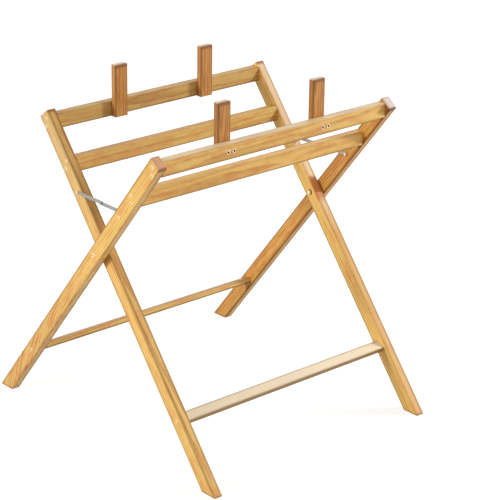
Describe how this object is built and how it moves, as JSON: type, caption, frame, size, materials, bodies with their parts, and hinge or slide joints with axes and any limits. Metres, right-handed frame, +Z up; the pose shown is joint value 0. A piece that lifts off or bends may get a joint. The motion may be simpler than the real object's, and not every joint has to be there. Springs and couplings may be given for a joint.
{
  "type": "baby bath stand",
  "caption": "Folding wooden X-frame stand that holds a baby bath at waist height between low rails and upright side posts.",
  "frame": {"origin": "middle of the open stand's footprint on the floor, straight under the pivot bolts' axis", "axes": "+X along the rails to the right as seen from the front, +Y from the front to the rear, +Z up"},
  "size_m": [0.888, 0.971, 1.0213],
  "materials": {
    "board_wood": "clear satin lacquer",
    "post_wood": "clear satin lacquer",
    "link_steel": "bright zinc",
    "bolt_steel": "bright zinc"
  },
  "bodies": {
    "inner_frame": {"inner_leg_left": "board_wood", "inner_leg_right": "board_wood", "rear_top_rail": "board_wood", "rear_lower_rail": "board_wood", "front_stretcher": "board_wood", "rear_post_left": "post_wood", "rear_post_right": "post_wood", "rear_rail_screws": "bolt_steel", "rear_post_screws": "bolt_steel", "front_stretcher_screws": "bolt_steel", "pivot_bolt_left": "bolt_steel", "pivot_bolt_right": "bolt_steel", "pivot_spacer_left": "bolt_steel", "pivot_spacer_right": "bolt_steel", "pivot_nut_left": "bolt_steel", "pivot_nut_right": "bolt_steel", "pivot_nut_washers": "bolt_steel", "inner_link_bolt_left": "bolt_steel", "inner_link_bolt_right": "bolt_steel", "inner_link_nuts": "bolt_steel", "inner_link_nut_washers": "bolt_steel"},
    "outer_frame": {"outer_leg_left": "board_wood", "outer_leg_right": "board_wood", "front_top_rail": "board_wood", "front_lower_rail": "board_wood", "rear_stretcher": "board_wood", "front_post_left": "post_wood", "front_post_right": "post_wood", "front_rail_screws": "bolt_steel", "front_post_screws": "bolt_steel", "rear_stretcher_screws": "bolt_steel", "outer_link_bolt_left": "bolt_steel", "outer_link_bolt_right": "bolt_steel", "outer_link_nuts": "bolt_steel"},
    "left_outer_link": {"outer_link_left": "link_steel", "outer_link_rivet_left": "bolt_steel"},
    "right_outer_link": {"outer_link_right": "link_steel", "outer_link_rivet_right": "bolt_steel"},
    "left_inner_link": {"inner_link_left": "link_steel", "inner_link_rivet_left": "bolt_steel"},
    "right_inner_link": {"inner_link_right": "link_steel", "inner_link_rivet_right": "bolt_steel"}
  },
  "joints": [
    {"name": "fold", "type": "hinge", "parent": "inner_frame", "child": "outer_frame", "pos_m": [0, 0, 0.57], "axis": [-1, 0, 0], "range_deg": [0, 52]},
    {"name": "left_outer_link_turn", "type": "hinge", "parent": "outer_frame", "child": "left_outer_link", "pos_m": [-0.411, -0.11711, 0.71617], "axis": [1, 0, 0], "range_deg": [0, 95.5]},
    {"name": "right_outer_link_turn", "type": "hinge", "parent": "outer_frame", "child": "right_outer_link", "pos_m": [0.411, -0.11711, 0.71617], "axis": [1, 0, 0], "range_deg": [0, 95.5]},
    {"name": "left_inner_link_turn", "type": "hinge", "parent": "inner_frame", "child": "left_inner_link", "pos_m": [-0.408, 0.11711, 0.71617], "axis": [-1, 0, 0], "range_deg": [0, 95.5]},
    {"name": "right_inner_link_turn", "type": "hinge", "parent": "inner_frame", "child": "right_inner_link", "pos_m": [0.408, 0.11711, 0.71617], "axis": [-1, 0, 0], "range_deg": [0, 95.5]}
  ],
  "couplings": [
    {"joint": "left_outer_link_turn", "follows": "fold", "ratio": 1.8349},
    {"joint": "right_outer_link_turn", "follows": "fold", "ratio": 1.8349},
    {"joint": "left_inner_link_turn", "follows": "fold", "ratio": 1.8349},
    {"joint": "right_inner_link_turn", "follows": "fold", "ratio": 1.8349}
  ]
}
